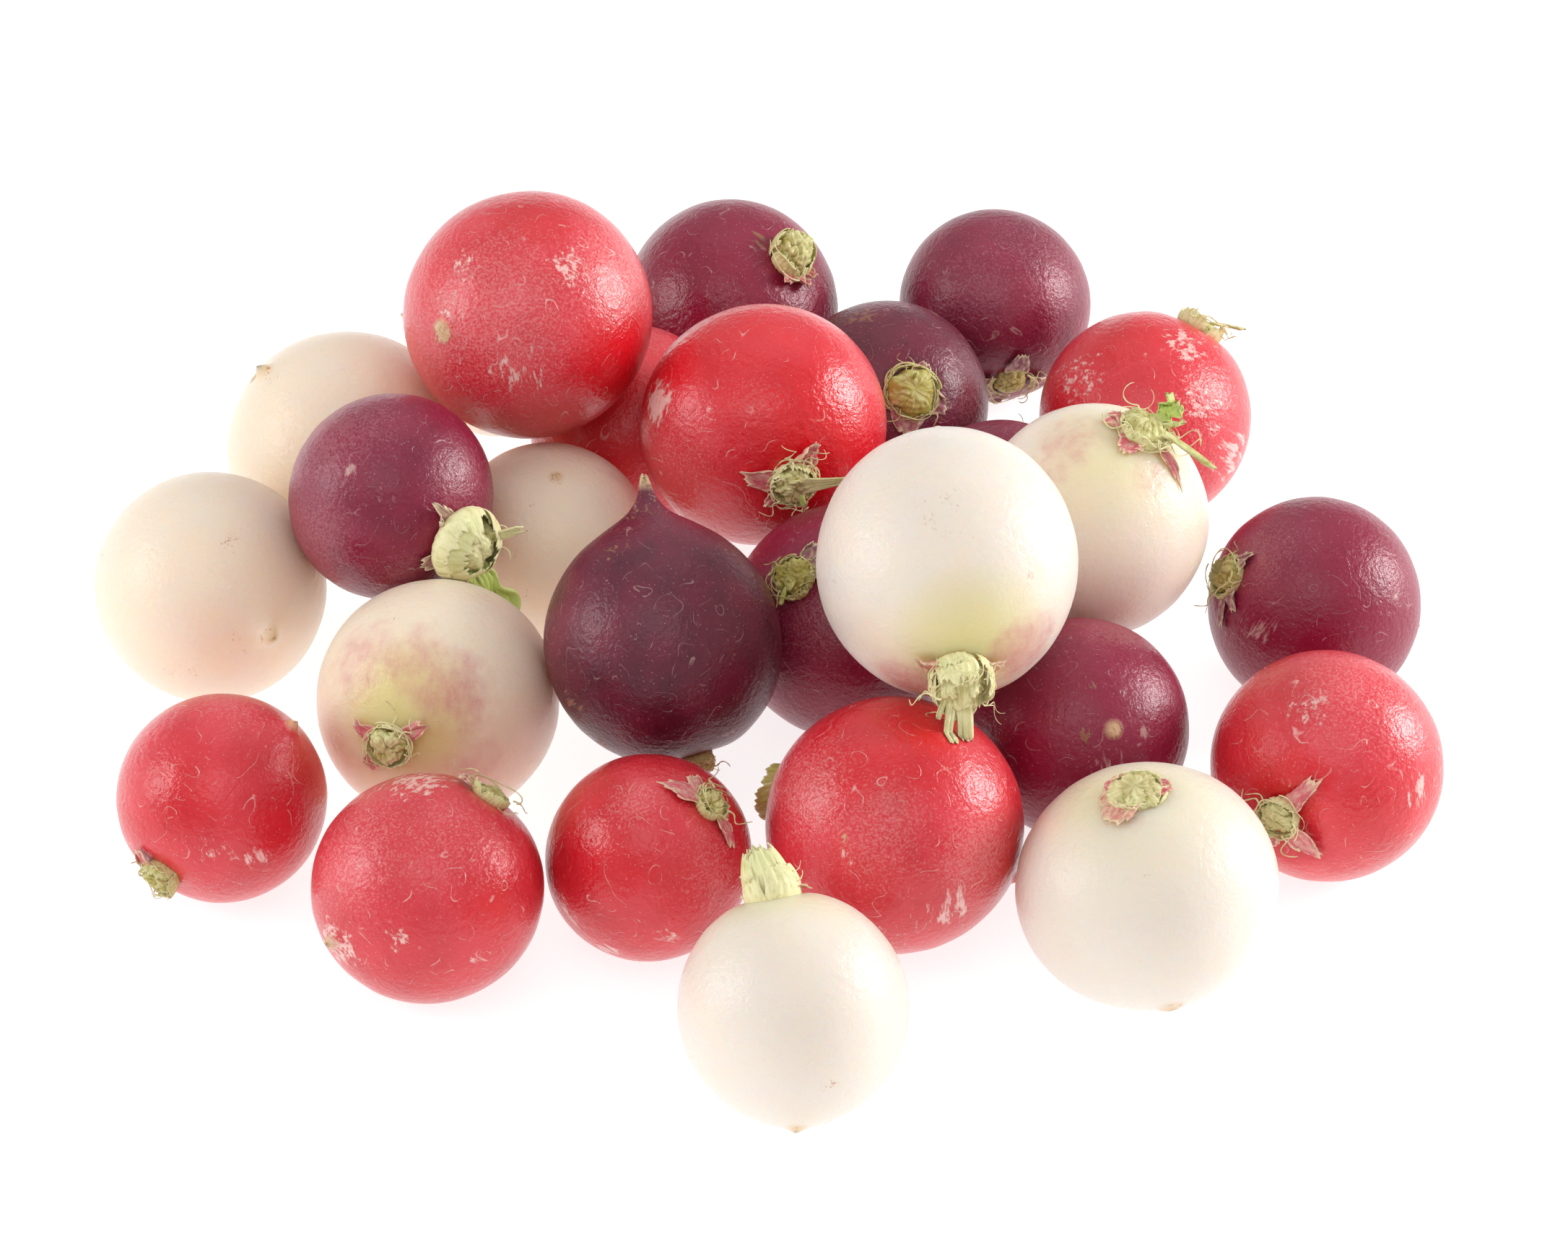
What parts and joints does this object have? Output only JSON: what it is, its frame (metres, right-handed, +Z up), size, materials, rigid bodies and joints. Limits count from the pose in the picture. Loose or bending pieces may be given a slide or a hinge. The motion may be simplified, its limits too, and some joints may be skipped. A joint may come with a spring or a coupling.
{
  "type": "bunch of radishes",
  "caption": "Loose heap of fresh round radishes in crimson, wine purple and cream, topped, with short tails and trimmed leaf bases, lying on a surface.",
  "frame": {"origin": "middle of the bunch's bounding box, on the surface it lies on", "axes": "+Z up from the surface, the flattest direction of the bunch; -Y faces the viewer, with +X to the viewer's right"},
  "size_m": [0.2216, 0.227, 0.0723],
  "materials": {
    "red_skin": "waxy semi-gloss crimson skin with a pale bloom and scuffs",
    "purple_skin": "satin wine-purple skin with pale dust and scratches",
    "white_skin": "smooth translucent cream skin, slightly moist",
    "leaf_base": "fibrous pale green cut leaf bases with papery pink scales"
  },
  "bodies": {
    "root": {"red_root_1": "red_skin", "red_root_2": "red_skin", "red_root_3": "red_skin", "red_root_4": "red_skin", "red_root_5": "red_skin", "red_root_6": "red_skin", "red_root_7": "red_skin", "red_root_8": "red_skin", "red_root_9": "red_skin", "purple_root_1": "purple_skin", "purple_root_2": "purple_skin", "purple_root_3": "purple_skin", "purple_root_4": "purple_skin", "purple_root_5": "purple_skin", "purple_root_6": "purple_skin", "purple_root_7": "purple_skin", "purple_root_8": "purple_skin", "purple_root_9": "purple_skin", "white_root_1": "white_skin", "white_root_2": "white_skin", "white_root_3": "white_skin", "white_root_4": "white_skin", "white_root_5": "white_skin", "white_root_6": "white_skin", "white_root_7": "white_skin", "white_root_8": "white_skin", "white_root_9": "white_skin", "red_crown_1": "leaf_base", "red_crown_2": "leaf_base", "red_crown_3": "leaf_base", "red_crown_4": "leaf_base", "red_crown_5": "leaf_base", "red_crown_6": "leaf_base", "red_crown_7": "leaf_base", "red_crown_8": "leaf_base", "red_crown_9": "leaf_base", "purple_crown_1": "leaf_base", "purple_crown_2": "leaf_base", "purple_crown_3": "leaf_base", "purple_crown_4": "leaf_base", "purple_crown_5": "leaf_base", "purple_crown_6": "leaf_base", "purple_crown_7": "leaf_base", "purple_crown_8": "leaf_base", "purple_crown_9": "leaf_base", "white_crown_1": "leaf_base", "white_crown_2": "leaf_base", "white_crown_3": "leaf_base", "white_crown_4": "leaf_base", "white_crown_5": "leaf_base", "white_crown_6": "leaf_base", "white_crown_7": "leaf_base", "white_crown_8": "leaf_base", "white_crown_9": "leaf_base"}
  },
  "joints": []
}
